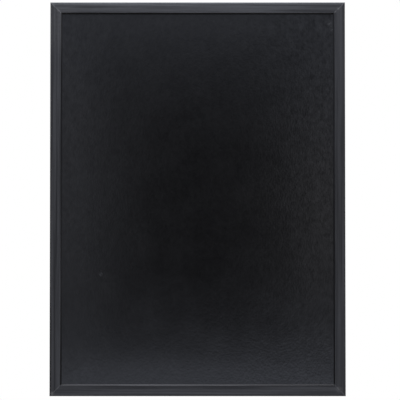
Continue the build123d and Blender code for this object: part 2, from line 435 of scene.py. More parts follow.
coatingFinish = {
    "dark": colour(0.0035, 0.0034, 0.0034),
    "light": colour(0.0073, 0.0072, 0.0070),
    "dustTone": colour(0.30, 0.30, 0.30),
    "cloud": ((16.0, 16.0, 16.0), 3.0),
    "mottle": ((120.0, 120.0, 90.0), 4.0, 0.7),
    "speckle": ((1100.0, 1100.0, 1100.0), 1.0),
    "peel": ((330.0, 330.0, 215.0), 2.0),
    "wipes": ((4.0, 4.0, 62.0), 4.0, 0.6, 0.5),
    "scratch": ((260.0, 260.0, 1500.0), 3.0, 0.7),
    "wipeTilt": 0.42,         # of the wipes and scratches, in radians
    "wipedDust": 0.002,       # how much chalk shows in the wipes, as grains and in the scuffs
    "grainDust": 0.03,
    "scuffDust": 0.12,
    "roughness": 0.10,
    "cloudRoughness": 0.05,   # added by the clouds, the wiped dust and the scuffs
    "dustRoughness": 0.01,
    "scuffRoughness": 0.3,
    "peelDepth": 0.00009,
    "speckleRelief": 0.05,    # of that height
    "evenPeel": 0.45,         # share of the peel at the left, where the coat is full
    "glossRange": 0.85,       # how far the gloss varies from patch to patch near the sides
    "evenGloss": 0.12,        # share of that in the middle
    "scuffs": (               # x, z, size, amount
        (0.2700, 0.3560, 0.0075, 1.0),
        (0.2745, 0.3430, 0.0045, 1.0),
        (-0.1970, -0.1540, 0.0055, 1.0),
    ),
}


def chalkSurface():
    # semi-gloss black coating with a fine orange peel, wiped many times, and a few scuffs
    look = coatingFinish
    material, tree, shader, place = newFinish("chalk coating", IOR=1.5)
    x, y, z = split(tree, place)
    cloud, mottle, speckle, peel = patterns(tree, place, look, "cloud", "mottle", "speckle", "peel")
    turn = {"Vector": place, "Rotation": (0.0, look["wipeTilt"], 0.0)}
    tilted = addNode(tree, "ShaderNodeMapping", turn).outputs[0]
    wipes, scratch = patterns(tree, tilted, look, "wipes", "scratch")
    tone = timesAdd(tree, mottle, 0.7, times(tree, cloud, 0.3))
    base = blendColour(tree, ease(tree, tone, 0.25, 0.75), look["dark"], look["light"])
    dust = times(tree, ease(tree, wipes, 0.48, 0.85), ease(tree, cloud, 0.40, 0.66))
    base = overlay(tree, base, look["dustTone"], dust, look["wipedDust"])
    base = overlay(tree, base, look["dustTone"], ease(tree, speckle, 0.68, 0.80), look["grainDust"])
    scuffed = nearSpots(tree, place, sheetLow.y, look["scuffs"])
    scuffed = times(tree, scuffed, ease(tree, scratch, 0.46, 0.62))
    base = overlay(tree, base, look["dustTone"], scuffed, look["scuffDust"])
    rough = timesAdd(tree, cloud, look["cloudRoughness"], look["roughness"])
    rough = timesAdd(tree, dust, look["dustRoughness"], rough)
    rough = timesAdd(tree, scuffed, look["scuffRoughness"], rough)

    # gloss and peel are least even towards the sides, above all high on the right, where the roller ran dry
    sideways = timesAdd(tree, ease(tree, x, -0.10, -0.28), 0.35, ease(tree, x, 0.05, 0.26))
    sideways = times(tree, sideways, timesAdd(tree, ease(tree, z, -0.32, 0.05), 0.7, 0.3))
    uneven = times(tree, calc(tree, "SUBTRACT", mottle, 0.5), look["glossRange"])
    uneven = times(tree, uneven, timesAdd(tree, sideways, 1 - look["evenGloss"], look["evenGloss"]))
    feed(tree, shader.inputs["Specular IOR Level"], calc(tree, "ADD", uneven, 0.5))
    dry = timesAdd(tree, ease(tree, x, -0.15, 0.28), 1 - look["evenPeel"], look["evenPeel"])
    dry = times(tree, dry, calc(tree, "ADD", cloud, 0.5))
    height = timesAdd(tree, speckle, look["speckleRelief"], times(tree, peel, dry))
    setSurface(tree, shader, base, rough, height, look["peelDepth"])
    return material


fibreFinish = {
    "dark": colour(0.115, 0.058, 0.026),
    "light": colour(0.270, 0.155, 0.080),
    "speck": colour(0.050, 0.026, 0.013),
    "pale": colour(0.300, 0.185, 0.100),
    "fibres": ((900.0, 900.0, 260.0), 4.0, 0.7, 1.2),
    "cross": ((260.0, 900.0, 900.0), 4.0, 0.7, 1.2),
    "cloud": ((22.0, 22.0, 22.0), 3.0),
    "specks": ((420.0, 420.0, 420.0), 2.0),
    "speckShare": 0.6,
    "fadedShare": 0.35,
    "roughness": 0.55,
    "fibreRoughness": 0.25,
    "screenPitch": 0.0016,
    "relief": 0.00018,
    "fibreRelief": 0.9,       # of that height
    "screenRelief": 0.5,
}


def hardboard():
    # brown pressed fibre with the print of the wire screen it was made on
    look = fibreFinish
    material, tree, shader, place = newFinish("hardboard", IOR=1.45)
    x, y, z = split(tree, place)
    fibres, cross, cloud, specks = patterns(tree, place, look, "fibres", "cross", "cloud", "specks")
    fibre = timesAdd(tree, fibres, 0.5, times(tree, cross, 0.5))
    base = blendColour(tree, ease(tree, fibre, 0.36, 0.64), look["dark"], look["light"])
    base = overlay(tree, base, look["speck"], ease(tree, specks, 0.66, 0.74), look["speckShare"])
    base = overlay(tree, base, look["pale"], ease(tree, cloud, 0.3, 0.7), look["fadedShare"])
    rough = timesAdd(tree, fibre, look["fibreRoughness"], look["roughness"])
    pitch = 2 * math.pi / look["screenPitch"]
    weaveX, weaveZ = (calc(tree, "SINE", times(tree, way, pitch)) for way in (x, z))
    weave = times(tree, times(tree, weaveX, weaveZ), look["screenRelief"])
    relief = timesAdd(tree, fibre, look["fibreRelief"], weave)
    setSurface(tree, shader, base, rough, relief, look["relief"])
    return material


metalFinish = {                # tone, tone of the duller patches, roughness, and how far those patches reach
    "V-nail steel": (colour(0.52, 0.51, 0.50), colour(0.20, 0.15, 0.11), 0.36, 0.50),
    "point steel": (colour(0.52, 0.52, 0.51), colour(0.25, 0.24, 0.22), 0.33, 0.30),
    "strap nickel": (colour(0.66, 0.63, 0.57), colour(0.38, 0.34, 0.27), 0.30, 0.25),
    "ring nickel": (colour(0.70, 0.67, 0.61), colour(0.42, 0.38, 0.31), 0.20, 0.15),
    "screw zinc": (colour(0.58, 0.58, 0.56), colour(0.30, 0.29, 0.26), 0.34, 0.40),
}
metalMarks = {
    "marks": ((900.0, 900.0, 60.0), 3.0, 0.7),
    "patches": ((330.0, 330.0, 330.0), 3.0, 0.6),
    "patchStart": (0.62, 0.3),    # with no reach, and how much lower with full reach
    "patchFull": (0.80, 0.2),
    "patchShare": 0.8,
    "patchRoughness": 0.22,
    "markShare": 0.2,
    "markRoughness": 0.14,
    "bump": 0.00001,
}


def platedMetal(name):
    # plated or bare steel with fine marks and duller patches
    look = metalMarks
    tone, dull, roughness, reach = metalFinish[name]
    material, tree, shader, place = newFinish(name, Metallic=1.0)
    marks, patches = patterns(tree, place, look, "marks", "patches")
    start, end = (level - reach * lower for level, lower in (look["patchStart"], look["patchFull"]))
    spread = ease(tree, patches, start, end)
    base = overlay(tree, tone, dull, spread, look["patchShare"])
    base = overlay(tree, base, dull, marks, look["markShare"])
    rough = timesAdd(tree, marks, look["markRoughness"], roughness - look["markRoughness"] / 2)
    rough = timesAdd(tree, spread, look["patchRoughness"], rough)
    setSurface(tree, shader, base, rough, marks, look["bump"])
    return material


rubberFinish = {
    "dark": colour(0.016, 0.016, 0.016),
    "light": colour(0.026, 0.026, 0.027),
    "dustTone": colour(0.30, 0.29, 0.27),
    "grit": ((2600.0, 2600.0, 2600.0), 2.0),
    "cloud": ((900.0, 900.0, 900.0), 4.0, 0.65),
    "dustShare": 0.12,
    "dustReach": 0.0012,      # from the wall
    "roughness": 0.62,
    "gritRoughness": 0.2,
    "gritDepth": 0.00003,
}


def rubber():
    # matt moulded rubber, dusty where it meets the wall
    look = rubberFinish
    material, tree, shader, place = newFinish("bumper rubber", IOR=1.5)
    grit, cloud = patterns(tree, place, look, "grit", "cloud")
    base = blendColour(tree, cloud, look["dark"], look["light"])
    wallSide = ease(tree, split(tree, place)[1], -look["dustReach"], 0.0)
    dust = times(tree, wallSide, ease(tree, cloud, 0.25, 0.85))
    base = overlay(tree, base, look["dustTone"], dust, look["dustShare"])
    rough = timesAdd(tree, grit, look["gritRoughness"], look["roughness"])
    setSurface(tree, shader, base, rough, grit, look["gritDepth"])
    return material


railWood = stainedWood("stained wood, grain across the board", True)
stileWood = stainedWood("stained wood, grain up the board", False)
coating = chalkSurface()
fibreBoard = hardboard()
nailSteel = platedMetal("V-nail steel")
pointSteel = platedMetal("point steel")
strapNickel = platedMetal("strap nickel")
ringNickel = platedMetal("ring nickel")
screwZinc = platedMetal("screw zinc")
bumperRubber = rubber()
print("finishes made:", len(bpy.data.materials))


# Camera, as the photograph was taken: far off, a little below the middle, tipped up by a degree

view = {"place": (0.0048, -2.2735, -0.043), "tipUp": 1.023, "lens": 100.0, "sensor": 36.0}
camera = bpy.data.cameras.new("camera")
camera.lens = view["lens"]
camera.sensor_width = view["sensor"]
cameraObject = bpy.data.objects.new("camera", camera)
cameraObject.location = view["place"]
cameraObject.rotation_euler = (math.radians(90 + view["tipUp"]), 0.0, 0.0)
bpy.context.scene.collection.objects.link(cameraObject)
bpy.context.scene.camera = cameraObject
bpy.context.scene.view_settings.view_transform = "Standard"
print("camera placed")


# Studio: pale floor, a soft key above, and a room that the board reflects, dark behind the camera. The room
# depends on direction alone. A pair is where something begins and where it is full: the direction's z where
# the name ends in Heights, or is coolTop, its x where it ends in Across, and its y in behind and darkSide.

studio = {
    "floorDrop": 0.45,       # under the board's lower edge, as it hangs
    "floorRadius": 1.35,
    "floorSides": 96,
    "floorMiddle": 0.35,     # behind the board, where its shadow falls
    "floorTone": (0.200, 0.193, 0.177),
    "floorMist": ((2.0, 2.0, 2.0), 2.0),
    "floorPale": 1.1,        # times that tone where the mist is palest
    "floorRoughness": 0.9,
    "floorGlow": 0.77,       # for the camera alone, so that the floor looks white away from the shadow
    "roomByHeight": (
        (-1.0, 0.10), (-0.65, 0.15), (-0.45, 1.10), (-0.24, 2.12), (-0.15, 0.85), (-0.11, 0.28),
        (-0.04, 0.52), (0.09, 0.54), (0.19, 0.41), (0.28, 0.72), (0.50, 0.66), (0.80, 0.70), (1.0, 3.00),
    ),
    "sidesAcross": (0.12, 0.72),
    "leftLevel": 0.10,       # share that is left at the far left and right
    "rightLevel": 0.60,
    "highLeft": 0.45,        # how much paler the left is high up
    "highLeftHeights": (0.07, 0.15),
    "highLeftAcross": (-0.10, -0.20),
    "lowSides": -0.38,       # and how much darker both sides are low down
    "lowSidesHeights": (0.06, -0.06),
    "lowSidesAcross": (0.135, 0.190),
    "behindGain": 1.7,       # for what lights the back of the board
    "behind": (0.10, 0.80),
    "darkLevel": 0.022,      # straight behind the camera
    "darkHalfWidth": 0.113,
    "darkAbove": 0.182,
    "darkBelow": 0.139,
    "darkCurves": (2.8, 3.3, 3.6, 3.5),  # how squarely it ends on the left and right, above and below
    "darkBlend": 0.15,
    "darkSide": (-0.9, -0.6),            # it is only on the camera's side
    "coolTint": (0.915, 0.979, 1.170),   # high up and low down
    "coolHeights": (0.02, 0.17),
    "coolAcross": (0.28, 0.12),
    "coolTop": (0.90, 0.60),             # straight above it is gone again
    "coolLeft": 0.6,                     # how much of it the left has at every height
    "coolLeftAcross": (0.0, -0.12),
    "plainTint": (0.975, 0.973, 1.045),
    "keyTint": (0.935, 0.976, 1.130),
    "keyPlace": (-0.10, -0.74, 1.10),
    "keySize": (0.9, 0.6),
    "keyPower": 12.0,
}


def makeWorld():
    world = bpy.data.worlds.new("room")
    bpy.context.scene.world = world
    world.use_nodes = True
    tree = world.node_tree
    tree.nodes.clear()
    x, y, z = split(tree, addNode(tree, "ShaderNodeTexCoord").outputs["Generated"])
    fromMiddle = calc(tree, "ABSOLUTE", x)

    def reach(value, name):
        return ease(tree, value, *studio[name])

    def changed(level, part, change):
        return times(tree, level, timesAdd(tree, part, change, 1.0))

    def beyond(value, edge, curve):
        return calc(tree, "POWER", calc(tree, "MAXIMUM", calc(tree, "DIVIDE", value, edge), 0.0), curve)

    ramp = addNode(tree, "ShaderNodeValToRGB", {"Fac": timesAdd(tree, z, 0.5, 0.5)})
    top = max(level for height, level in studio["roomByHeight"])
    steps = ramp.color_ramp
    steps.interpolation = "B_SPLINE"
    for index, (height, level) in enumerate(studio["roomByHeight"]):
        step = steps.elements[index] if index < 2 else steps.elements.new(1.0)
        step.position = height / 2 + 0.5
        step.color = colour(level / top, level / top, level / top)
    level = times(tree, ramp.outputs["Color"], top)
    start, end = studio["sidesAcross"]
    level = changed(level, ease(tree, x, -start, -end), studio["leftLevel"] - 1)
    level = changed(level, ease(tree, x, start, end), studio["rightLevel"] - 1)
    highLeft = times(tree, reach(z, "highLeftHeights"), reach(x, "highLeftAcross"))
    level = changed(level, highLeft, studio["highLeft"])
    lowSides = times(tree, reach(z, "lowSidesHeights"), reach(fromMiddle, "lowSidesAcross"))
    level = changed(level, lowSides, studio["lowSides"])
    level = changed(level, reach(y, "behind"), studio["behindGain"] - 1)

    # dark round the camera
    leftCurve, rightCurve, aboveCurve, belowCurve = studio["darkCurves"]
    left = beyond(x, -studio["darkHalfWidth"], leftCurve)
    right = beyond(x, studio["darkHalfWidth"], rightCurve)
    above = beyond(z, studio["darkAbove"], aboveCurve)
    below = beyond(z, -studio["darkBelow"], belowCurve)
    wide = calc(tree, "ADD", left, right)
    high = calc(tree, "ADD", above, below)
    off = calc(tree, "SMOOTH_MAX", wide, high, studio["darkBlend"])
    pale = calc(tree, "MINIMUM", calc(tree, "MAXIMUM", off, reach(y, "darkSide")), 1.0)
    dark = studio["darkLevel"]
    lit = timesAdd(tree, pale, calc(tree, "SUBTRACT", level, dark), dark)

    cool = times(tree, reach(x, "coolLeftAcross"), studio["coolLeft"])
    cool = calc(tree, "MAXIMUM", reach(calc(tree, "ABSOLUTE", z), "coolHeights"), cool)
    cool = times(tree, times(tree, cool, reach(fromMiddle, "coolAcross")), reach(z, "coolTop"))
    tint = blendColour(tree, cool, colour(*studio["plainTint"]), colour(*studio["coolTint"]))
    seen = addNode(tree, "ShaderNodeLightPath").outputs["Is Camera Ray"]
    shade = blendColour(tree, seen, scaled(tree, tint, lit), colour(1.0, 1.0, 1.0))
    background = addNode(tree, "ShaderNodeBackground", {"Color": shade})
    output = addNode(tree, "ShaderNodeOutputWorld")
    tree.links.new(background.outputs[0], output.inputs[0])


def makeFloor():
    level = -halfHeight - studio["floorDrop"]
    shape = bmesh.new()
    sides, radius = studio["floorSides"], studio["floorRadius"]
    bmesh.ops.create_circle(shape, cap_ends=True, segments=sides, radius=radius)
    bmesh.ops.translate(shape, vec=(0.0, studio["floorMiddle"], level), verts=shape.verts)
    floor = addPiece("floor", meshFrom("floor", shape))
    material, tree, shader, place = newFinish("pale floor", Roughness=studio["floorRoughness"], IOR=1.2)
    mist = grainNoise(tree, place, *studio["floorMist"])
    tone = Vector(studio["floorTone"])
    base = blendColour(tree, mist, colour(*tone), colour(*tone * studio["floorPale"]))
    feed(tree, shader.inputs["Base Color"], base)
    seen = addNode(tree, "ShaderNodeLightPath").outputs["Is Camera Ray"]
    shader.inputs["Emission Color"].default_value = colour(1.0, 1.0, 1.0)
    feed(tree, shader.inputs["Emission Strength"], times(tree, seen, studio["floorGlow"]))
    floor.data.materials.append(material)


def makeKey():
    lamp = bpy.data.lights.new("key", "AREA")
    lamp.shape = "RECTANGLE"
    lamp.size, lamp.size_y = studio["keySize"]
    lamp.energy = studio["keyPower"]
    lamp.color = studio["keyTint"]
    key = bpy.data.objects.new("key", lamp)
    key.location = studio["keyPlace"]
    key.rotation_euler = (-Vector(studio["keyPlace"])).to_track_quat("-Z", "Y").to_euler()
    key.visible_camera = False
    bpy.context.scene.collection.objects.link(key)


makeWorld()
makeFloor()
makeKey()
print("studio lit")


# Steel driven into the frame: where each nail and point goes, and the cuts that take them

nails = {
    "wing": 0.005,            # length of each arm of the V
    "lip": 0.001,             # at the end of each arm
    "thickness": 0.00045,
    "depth": 0.008,
    "sink": 0.0003,           # below the back of the frame
    "edge": 0.00006,
    "room": 0.00003,          # round each nail, in its cut
    "shares": (0.34, 0.70),   # along each mitre, from the outer corner
}
points = {
    "length": 0.015,
    "width": 0.0055,
    "thickness": 0.0005,
    "tip": 0.003,
    "driven": 0.006,          # into the wall of the rabbet
    "tailFlat": 0.0005,       # between the two rounds of its free end
    "tailSteps": 8,
    "edge": 0.00006,
    "room": 0.00003,
    "endGap": 0.085,          # from the frame's corners to the first and last
    "onStile": 4,
    "onRail": 3,
    "bendStart": -0.001,      # from the wall of the rabbet
    "tailLift": 0.0007,       # the free end is bent up this far at most
}
screws = {
    "shank": 0.003,
    "core": 0.0021,
    "neck": 0.0008,           # plain shank under the head
    "neckShare": 0.97,        # of the thread's width
    "runOut": 0.0002,
    "pitch": 0.0012,
    "turnSteps": 10,
    "crest": 0.28,            # of the pitch, each way from the crest's line
    "tip": 0.003,
    "tipCurve": 0.7,
    "tipThread": 1.2,         # how much sooner than the core the thread has its full height
    "headHeight": 0.0021,
    "headEdge": 0.0009,
    "domeSteps": 12,
    "rim": 0.00012,           # how far the head's edges are eased
    "room": 0.00005,          # round the shank, in its hole
    "sides": 48,
    "holeSides": 40,
    "heartSides": 32,
    "recessWidth": (0.0018, 0.0046),    # at the foot and at the mouth
    "recessSlot": (0.00040, 0.00080),
    "recessHeart": (0.00020, 0.00150),
    "recessDepth": 0.0015,
    "turns": {"left": 0.35, "right": 1.10},
}


def turnTowards(x, z):
    return math.atan2(-z, x)  # about +Y, from +X


def placesMesh(name, places):
    mesh = bpy.data.meshes.new(name)
    mesh.from_pydata([spot for spot, turn in places], [], [])
    turns = mesh.attributes.new("turn", "FLOAT", "POINT")
    turns.data.foreach_set("value", [turn for spot, turn in places])
    return mesh


def nailPlaces(y):
    places = []
    for across in (-1, 1):
        for up in (-1, 1):
            for share in nails["shares"]:
                inset = backWidth * share
                spot = (across * (halfWidth - inset), y, up * (halfHeight - inset))
                places.append((spot, turnTowards(-across, -up)))
    return places


def evenly(length, count):
    run = length - 2 * points["endGap"]
    return [run * (k / (count - 1) - 0.5) for k in range(count)]


def pointPlaces(y):
    wallX = halfWidth - backWidth
    wallZ = halfHeight - backWidth
    places = []
    for side in (-1, 1):
        for z in evenly(2 * halfHeight, points["onStile"]):
            places.append(((side * wallX, y, z), turnTowards(side, 0)))
        for x in evenly(2 * halfWidth, points["onRail"]):
            places.append(((x, y, side * wallZ), turnTowards(0, side)))
    return places


def nailOutline(room):
    # a V of strip, its point at the origin and its wings opening along +X
    half = nails["thickness"] / 2 + room
    reach = nails["wing"] / math.sqrt(2)
    end = reach + nails["lip"] + room
    corner = half * math.sqrt(2)
    bend = half * math.tan(math.pi / 8)
    outer, inner = -reach - half, half - reach
    wing = [(reach - bend, outer), (end, outer), (end, inner), (reach + bend, inner)]
    return [(-corner, 0.0), *wing, (corner, 0.0)] + [(x, -z) for x, z in wing[::-1]]


def pointOutline(room):
    # the rabbet wall crosses it at x = 0, its tip points along +X
    tail = points["driven"] - points["length"] - room
    shoulder = points["driven"] - points["tip"]
    half = points["width"] / 2 + room
    tailRound = half - points["tailFlat"] / 2
    corners = [
        (tail, half, tailRound),
        (tail, -half, tailRound),
        (shoulder, -half, 0.0),
        (points["driven"] + room, 0.0, 0.0),
        (shoulder, half, 0.0),
    ]
    return [(p.x, p.y) for p in roundedOutline(corners, points["tailSteps"])]


def makeSetTree():
    # one piece set at every place, each turned by the place's own angle, its free end bent up
    tree, given = newTree("set at places", {
        "Piece": "Object",
        "Bend start": "Float",
        "Bend length": "Float",
        "Bend lift": "Float",
        "Material": "Material",
    })
    piece = addNode(tree, "GeometryNodeObjectInfo", {"Object": given["Piece"]}).outputs["Geometry"]
    x, y, z = split(tree, addNode(tree, "GeometryNodeInputPosition").outputs[0])
    beyond = calc(tree, "DIVIDE", calc(tree, "SUBTRACT", given["Bend start"], x), given["Bend length"])
    beyond = calc(tree, "MAXIMUM", beyond, 0.0)
    lift = times(tree, calc(tree, "POWER", beyond, 2.0), given["Bend lift"])
    bent = moved(tree, piece, {"Offset": combine(tree, 0.0, lift, 0.0)})
    turn = addNode(tree, "GeometryNodeInputNamedAttribute", {"Name": "turn"}, data_type="FLOAT").outputs[0]
    rotation = addNode(tree, "FunctionNodeEulerToRotation", {"Euler": combine(tree, 0.0, turn, 0.0)})
    placed = addNode(tree, "GeometryNodeInstanceOnPoints", {
        "Points": given["Geometry"],
        "Instance": bent,
        "Rotation": rotation.outputs[0],
    })
    endTree(tree, placed.outputs[0], given["Material"])
    return tree


setTree = makeSetTree()
straight = {"Bend start": 0.0, "Bend length": 1.0, "Bend lift": 0.0}


def setAtPlaces(name, blank, places, material, bend=straight):
    piece = addPiece(name, placesMesh(name, places))
    runTree(piece, setTree, {"Piece": blank, "Material": material, **bend})
    return piece


def dropPiece(piece):
    mesh = piece.data
    bpy.data.objects.remove(piece)
    bpy.data.meshes.remove(mesh)


def makeCuts():
    clearOfBack = 0.01  # past the back of the frame
    nailEnd = -nails["depth"] - nails["room"]
    nailBlank = addPiece("nail cut", prism(nailOutline(nails["room"]), nailEnd, clearOfBack))
    cuts = setAtPlaces("cuts", nailBlank, nailPlaces(backY - nails["sink"]), railWood)
    low, high = -points["room"], points["thickness"] + points["room"]
    pointBlank = addPiece("point cut", prism(pointOutline(points["room"]), low, high))
    slits = setAtPlaces("slits", pointBlank, pointPlaces(backingHigh.y), railWood)
    shape = bmesh.new()
    shape.from_mesh(cuts.data)
    shape.from_mesh(slits.data)
    for side in ("left", "right"):
        screwLow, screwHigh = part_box(f"{side}_hanger_screw")
        middle = (screwLow + screwHigh) / 2
        radius = screws["shank"] / 2 + screws["room"]
        bottom = screwLow.y - screws["room"]
        profile = [(0, bottom), (radius, bottom), (radius, clearOfBack), (0, clearOfBack)]
        pilot = turned("pilot", profile, screws["holeSides"], middle)
        shape.from_mesh(pilot.data)
        dropPiece(pilot)
    shape.to_mesh(cuts.data)
    shape.free()
    for piece in (nailBlank, pointBlank, slits):
        dropPiece(piece)
    return cuts


# Moulding: one crowned section, run along each side of the board and mitred at both ends

moulding = {
    "faceWidth": 0.0216,
    "crownPeak": 0.0165,
    "crownRadius": 0.240,
    "lipFall": 0.0038,
    "outerArris": 0.0018,
    "innerArris": 0.0005,
    "lipRound": 0.00035,
    "backArris": 0.0006,
    "facePoints": 26,
    "arrisPoints": (3, 1),   # how many of them the outer and the inner arris replace
    "runStep": 0.0011,       # longest run between two points of the section
    "lengthStep": 0.0024,    # between two cuts along the length
    "grainDepth": 0.00006,
    "grainCells": (420.0, 420.0, 420.0),
    "grainStretch": 0.965,   # share by which it is drawn out along the length
    "grainFree": (0.0005, 0.006),  # from a mitre, where it begins and where it is full
    "sharpCorner": 0.00012,  # how far the corners without a round are eased
}


def mouldingSection():
    # x inwards from the outer edge, y backwards from the highest line of the face
    radius = moulding["crownRadius"]

    def crown(across):
        return radius - math.sqrt(radius**2 - (across - moulding["crownPeak"]) ** 2)

    face = moulding["faceWidth"]
    corners = [(0.0, crown(0.0), moulding["outerArris"])]
    count = moulding["facePoints"]
    outer, inner = moulding["arrisPoints"]
    corners += [(face * k / count, crown(face * k / count), 0.0) for k in range(outer, count - inner)]
    corners += [
        (face, crown(face), moulding["innerArris"]),
        (mouldingWidth, moulding["lipFall"], moulding["lipRound"]),
        (mouldingWidth, seatDepth, 0.0),
        (backWidth, seatDepth, 0.0),
        (backWidth, frameDepth, 0.0),
        (moulding["backArris"], frameDepth, 0.0),
        (0.0, frameDepth - moulding["backArris"], 0.0),
    ]
    outline = roundedOutline(corners)

    divided = []
    for start, end in zip(outline, outline[1:] + outline[:1]):
        parts = max(1, math.ceil((end - start).length / moulding["runStep"]))
        divided += [start.lerp(end, k / parts) for k in range(parts)]
    mesh = bpy.data.meshes.new("moulding section")
    count = len(divided)
    mesh.from_pydata([(p.x, p.y, 0.0) for p in divided], [(k, (k + 1) % count) for k in range(count)], [])
    return mesh


def makeMouldingTree():
    tree, given = newTree("mitred moulding", {
        "Length": "Float",
        "Cuts": "Int",
        "Edge middle": "Vector",
        "Inward": "Vector",
        "Along": "Vector",
        "Grain depth": "Float",
        "Material": "Material",
    })
    half = times(tree, given["Length"], 0.5)
    line = addNode(tree, "GeometryNodeCurvePrimitiveLine", {
        "Start": combine(tree, times(tree, half, -1.0), 0.0, 0.0),
        "End": combine(tree, half, 0.0, 0.0),
    })
    cuts = addNode(tree, "GeometryNodeResampleCurve", {"Curve": line.outputs[0], "Count": given["Cuts"]})
    section = addNode(tree, "GeometryNodeMeshToCurve", {"Mesh": given["Geometry"]})
    run = addNode(tree, "GeometryNodeCurveToMesh", {
        "Curve": cuts.outputs[0],
        "Profile Curve": section.outputs[0],
        "Fill Caps": True,
    })

    # the run lies along X, its section inwards along -Y and backwards along -Z
    x, y, z = split(tree, addNode(tree, "GeometryNodeInputPosition").outputs[0])
    along = times(tree, x, calc(tree, "ADD", calc(tree, "DIVIDE", y, half), 1.0))
    place = vectorCalc(tree, "ADD", given["Edge middle"], scaled(tree, given["Along"], along))
    place = vectorCalc(tree, "SUBTRACT", place, scaled(tree, given["Inward"], y))
    place = vectorCalc(tree, "SUBTRACT", place, combine(tree, 0.0, z, 0.0))
    mitred = moved(tree, run.outputs[0], {"Position": place})

    # grain stands a few hundredths of a millimetre deep, always into the wood and never in the mitred ends
    here = addNode(tree, "GeometryNodeInputPosition").outputs[0]
    lengthwise = vectorCalc(tree, "DOT_PRODUCT", here, given["Along"])
    fromEdge = vectorCalc(tree, "SUBTRACT", here, given["Edge middle"])
    inward = vectorCalc(tree, "DOT_PRODUCT", fromEdge, given["Inward"])
    fromEnd = calc(tree, "SUBTRACT", half, calc(tree, "ADD", inward, calc(tree, "ABSOLUTE", lengthwise)))
    squash = scaled(tree, given["Along"], times(tree, lengthwise, -moulding["grainStretch"]))
    grain = grainNoise(tree, vectorCalc(tree, "ADD", here, squash), moulding["grainCells"])
    depth = times(tree, given["Grain depth"], ease(tree, fromEnd, *moulding["grainFree"]))
    sink = times(tree, grain, times(tree, depth, -1.0))
    normal = addNode(tree, "GeometryNodeInputNormal").outputs[0]
    endTree(tree, moved(tree, mitred, {"Offset": scaled(tree, normal, sink)}), given["Material"])
    return tree


def makeMouldings():
    tree = makeMouldingTree()
    section = mouldingSection()
    cuts = makeCuts()
    inwards = {"top": (0, 0, -1), "bottom": (0, 0, 1), "left": (1, 0, 0), "right": (-1, 0, 0)}
    for side, direction in inwards.items():
        inward = Vector(direction)
        half, kind, wood = (halfWidth, "rail", railWood) if inward.z else (halfHeight, "stile", stileWood)
        piece = addPiece(f"{side}_moulding", section.copy())
        runTree(piece, tree, {
            "Length": 2 * half,
            "Cuts": round(2 * half / moulding["lengthStep"]),
            "Edge middle": Vector((-inward.x * halfWidth, frontY, -inward.z * halfHeight)),
            "Inward": inward,
            "Along": inward.cross(Vector((0, 1, 0))),
            "Grain depth": moulding["grainDepth"],
            "Material": wood,
        })
        easeEdges(piece, moulding["sharpCorner"])
        cutAway(piece, cuts)
        finishPiece(piece, f"{side}_{kind}", "board")
    dropPiece(cuts)


makeMouldings()


# Panel: the coated writing sheet and the hardboard behind it, neither of them quite flat

panels = {
    "cell": 0.006,
    "coveredEdge": 0.009,    # under the lip, where each lies flat
    "sheetWave": 0.00014,
    "backingWave": 0.00012,
    "waveCells": (6.0, 6.0, 4.2),
    "waveStart": 0.05,       # from the covered edge to where the wave is full
}


def makePanelTree():
    tree, given = newTree("panel", {
        "Low corner": "Vector",
        "High corner": "Vector",
        "Cells across": "Int",
        "Cells up": "Int",
        "Wave": "Float",
        "Waved side": "Float",
        "Covered edge": "Float",
        "Material": "Material",
    })
    size = vectorCalc(tree, "SUBTRACT", given["High corner"], given["Low corner"])
    middle = scaled(tree, vectorCalc(tree, "ADD", given["High corner"], given["Low corner"]), 0.5)
    block = addNode(tree, "GeometryNodeMeshCube", {
        "Size": size,
        "Vertices X": given["Cells across"],
        "Vertices Y": 2,
        "Vertices Z": given["Cells up"],
    })
    placed = moved(tree, block.outputs[0], {"Offset": middle})
    here = addNode(tree, "GeometryNodeInputPosition").outputs[0]
    x, y, z = split(tree, here)
    halfX, halfY, halfZ = split(tree, scaled(tree, size, 0.5))
    fromSide = calc(tree, "SUBTRACT", halfX, calc(tree, "ABSOLUTE", x))
    fromEnd = calc(tree, "SUBTRACT", halfZ, calc(tree, "ABSOLUTE", z))
    inside = calc(tree, "SUBTRACT", calc(tree, "MINIMUM", fromSide, fromEnd), given["Covered edge"])
    free = ease(tree, inside, 0.0, panels["waveStart"])
    swell = grainNoise(tree, here, panels["waveCells"])
    middleY = split(tree, middle)[1]
    side = calc(tree, "SIGN", calc(tree, "SUBTRACT", y, middleY))
    onSide = calc(tree, "COMPARE", side, given["Waved side"], 0.5)
    push = times(tree, times(tree, swell, free), given["Wave"])
    push = times(tree, push, times(tree, onSide, given["Waved side"]))
    waved = moved(tree, placed, {"Offset": combine(tree, 0.0, push, 0.0)})
    endTree(tree, waved, given["Material"])
    return tree


def makePanel():
    tree = makePanelTree()
    layers = (
        ("chalk_sheet", "writing_sheet", "writing_surface", coating, panels["sheetWave"], -1.0),
        ("hardboard_back", "backing_board", "hardboard", fibreBoard, panels["backingWave"], 1.0),
    )
    for name, node, slotName, material, wave, wavedSide in layers:
        low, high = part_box(node)
        piece = addPiece(name, bpy.data.meshes.new(name))
        runTree(piece, tree, {
            "Low corner": low,
            "High corner": high,
            "Cells across": round((high.x - low.x) / panels["cell"]),
            "Cells up": round((high.z - low.z) / panels["cell"]),
            "Wave": wave,
            "Waved side": wavedSide,
            "Covered edge": panels["coveredEdge"],
            "Material": material,
        })
        finishPiece(piece, node, "board")


makePanel()


# Nails and points in their places

